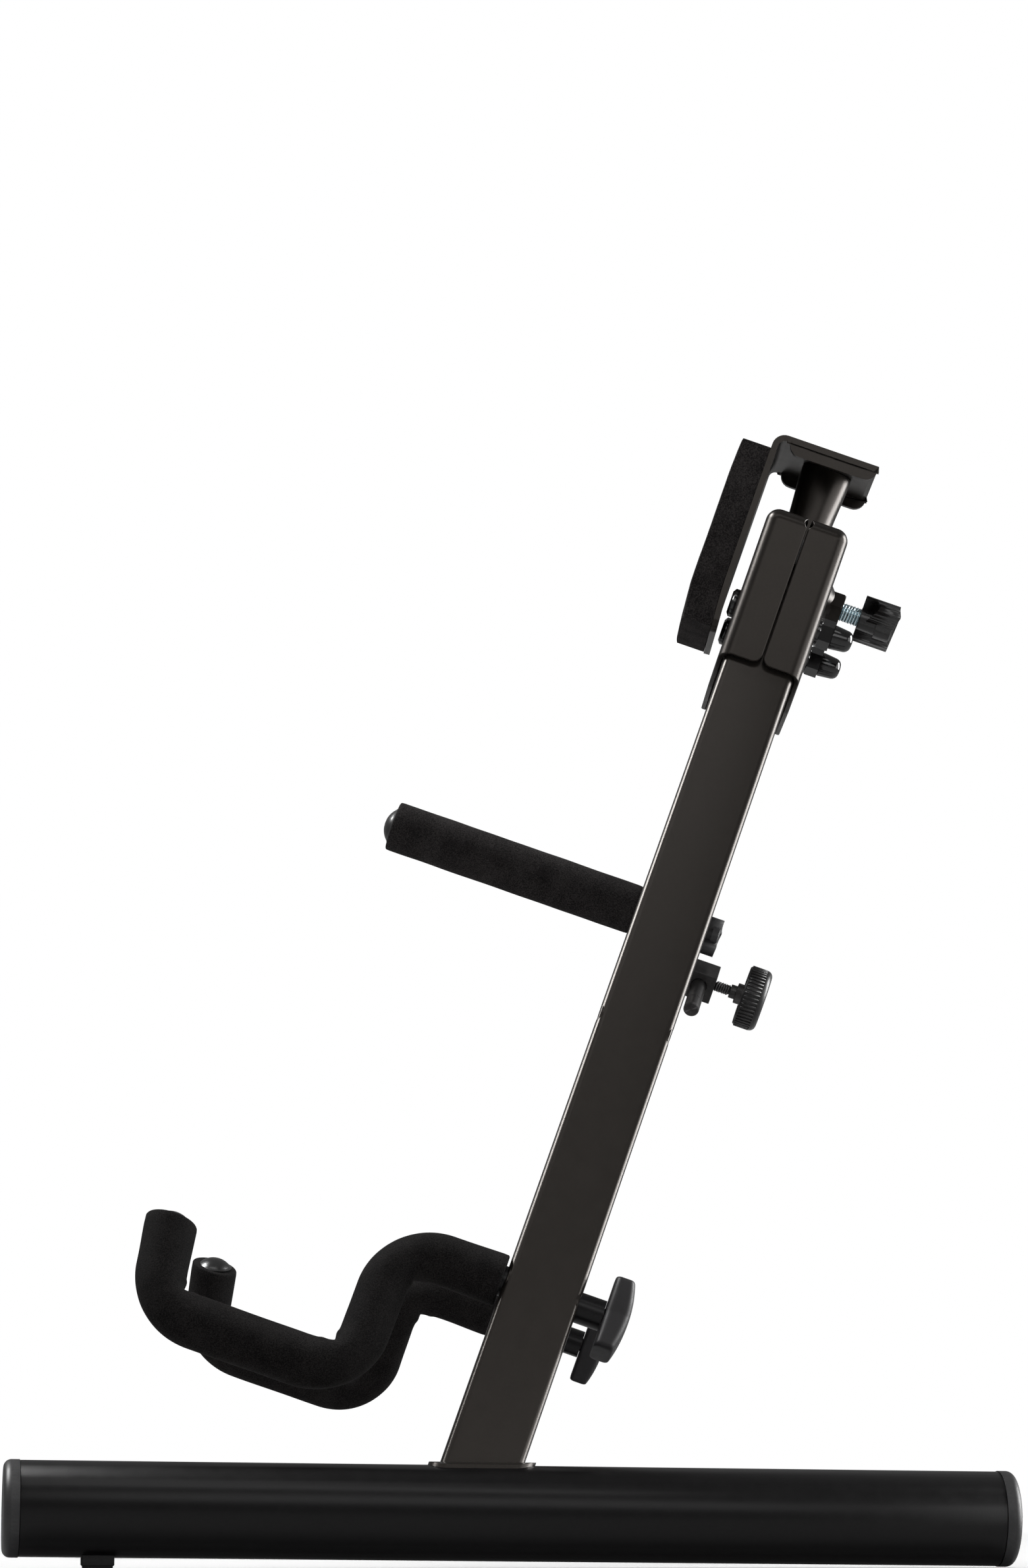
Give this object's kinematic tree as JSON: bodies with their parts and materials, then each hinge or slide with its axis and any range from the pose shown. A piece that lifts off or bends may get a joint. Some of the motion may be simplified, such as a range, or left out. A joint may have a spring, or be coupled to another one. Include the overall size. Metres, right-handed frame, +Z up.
{
  "type": "folding guitar stand",
  "caption": "Folding A-frame guitar stand: splayed legs on tube feet, hinged head box, sliding mast with padded neck rest, foam-covered cradle arms and a foam peg.",
  "frame": {"origin": "middle of the four floor contacts, on the floor", "axes": "+Z up; -X toward the player's side where the guitar rests, +X to the back; -Y toward the near leg of the picture"},
  "size_m": [0.3808, 0.437, 0.4688],
  "materials": {
    "powder_coat": "satin",
    "black_chrome": "polished",
    "blackened_steel": "satin",
    "zinc": "bright",
    "cap_plastic": "matte",
    "knob_plastic": "satin",
    "rubber": "matte",
    "foam": "matte"
  },
  "bodies": {
    "hinge_box": {"box_front": "powder_coat", "box_back": "powder_coat", "near_pivot_bolt": "black_chrome", "far_pivot_bolt": "black_chrome", "near_acorn_nut": "black_chrome", "far_acorn_nut": "black_chrome", "clamp_nut": "powder_coat", "guide_tube": "powder_coat", "upper_bush": "knob_plastic", "lower_bush": "knob_plastic"},
    "near_leg": {"near_leg_tube": "powder_coat", "near_pivot_sleeve": "zinc", "near_leg_weld": "powder_coat", "near_foot_tube": "powder_coat", "near_front_cap": "cap_plastic", "near_rear_cap": "cap_plastic", "near_front_pad": "rubber"},
    "far_leg": {"far_leg_tube": "powder_coat", "far_pivot_sleeve": "zinc", "far_leg_weld": "powder_coat", "far_foot_tube": "powder_coat", "far_front_cap": "cap_plastic", "far_rear_cap": "cap_plastic", "far_front_pad": "rubber"},
    "head": {"mast": "powder_coat", "mast_plug": "knob_plastic", "head_bracket": "powder_coat", "neck_pad": "foam"},
    "clamp": {"clamp_screw": "zinc", "clamp_knob": "knob_plastic"},
    "peg_carrier": {"peg_collar": "powder_coat", "peg_tube": "powder_coat", "peg_foam": "foam", "peg_cap": "cap_plastic", "rod_block": "blackened_steel"},
    "peg_clamp": {"peg_screw": "zinc", "peg_knob": "knob_plastic"},
    "rod": {"stop_rod": "blackened_steel"},
    "dial": {"dial_screw": "blackened_steel", "dial_knob": "knob_plastic"},
    "near_arm": {"near_arm_rod": "powder_coat", "near_arm_foam": "foam", "near_arm_cap": "cap_plastic"},
    "near_arm_clamp": {"near_arm_screw": "zinc", "near_arm_knob": "knob_plastic"},
    "far_arm": {"far_arm_rod": "powder_coat", "far_arm_foam": "foam", "far_arm_cap": "cap_plastic"},
    "far_arm_clamp": {"far_arm_screw": "zinc", "far_arm_knob": "knob_plastic"}
  },
  "joints": [
    {"name": "near_leg_fold", "type": "hinge", "parent": "hinge_box", "child": "near_leg", "pos_m": [0.11059, -0.03, 0.38934], "axis": [0.9438, 0, -0.3305], "range_deg": [0, 21]},
    {"name": "far_leg_fold", "type": "hinge", "parent": "hinge_box", "child": "far_leg", "pos_m": [0.11059, 0.03, 0.38934], "axis": [-0.9438, 0, 0.3305], "range_deg": [0, 21]},
    {"name": "mast_slide", "type": "slide", "parent": "hinge_box", "child": "head", "axis": [0.3305, 0, 0.9438], "range_m": [0, 0.193]},
    {"name": "clamp_turn", "type": "hinge", "parent": "hinge_box", "child": "clamp", "pos_m": [0.11654, 0, 0.40633], "axis": [0.9438, 0, -0.3305], "continuous": true},
    {"name": "peg_slide", "type": "slide", "parent": "hinge_box", "child": "peg_carrier", "axis": [0.3305, 0, 0.9438], "range_m": [-0.04, 0.06]},
    {"name": "peg_clamp_turn", "type": "hinge", "parent": "peg_carrier", "child": "peg_clamp", "pos_m": [0.06729, 0, 0.2657], "axis": [0.9438, 0, -0.3305], "continuous": true},
    {"name": "rod_slide", "type": "slide", "parent": "peg_carrier", "child": "rod", "axis": [-0.1751, -0.848, -0.5001], "range_m": [-0.006, 0.01]},
    {"name": "dial_turn", "type": "hinge", "parent": "peg_carrier", "child": "dial", "pos_m": [0.06101, 0, 0.24777], "axis": [0.9438, 0, -0.3305], "continuous": true},
    {"name": "near_arm_swing", "type": "hinge", "parent": "near_leg", "child": "near_arm", "pos_m": [0.0103, -0.14647, 0.10298], "axis": [-0.9438, 0, 0.3305], "range_deg": [0, 90]},
    {"name": "near_arm_clamp_turn", "type": "hinge", "parent": "near_arm", "child": "near_arm_clamp", "pos_m": [0.0103, -0.14647, 0.10298], "axis": [0.9438, 0, -0.3305], "continuous": true},
    {"name": "far_arm_swing", "type": "hinge", "parent": "far_leg", "child": "far_arm", "pos_m": [0.0103, 0.14647, 0.10298], "axis": [0.9438, 0, -0.3305], "range_deg": [0, 90]},
    {"name": "far_arm_clamp_turn", "type": "hinge", "parent": "far_arm", "child": "far_arm_clamp", "pos_m": [0.0103, 0.14647, 0.10298], "axis": [0.9438, 0, -0.3305], "continuous": true}
  ]
}
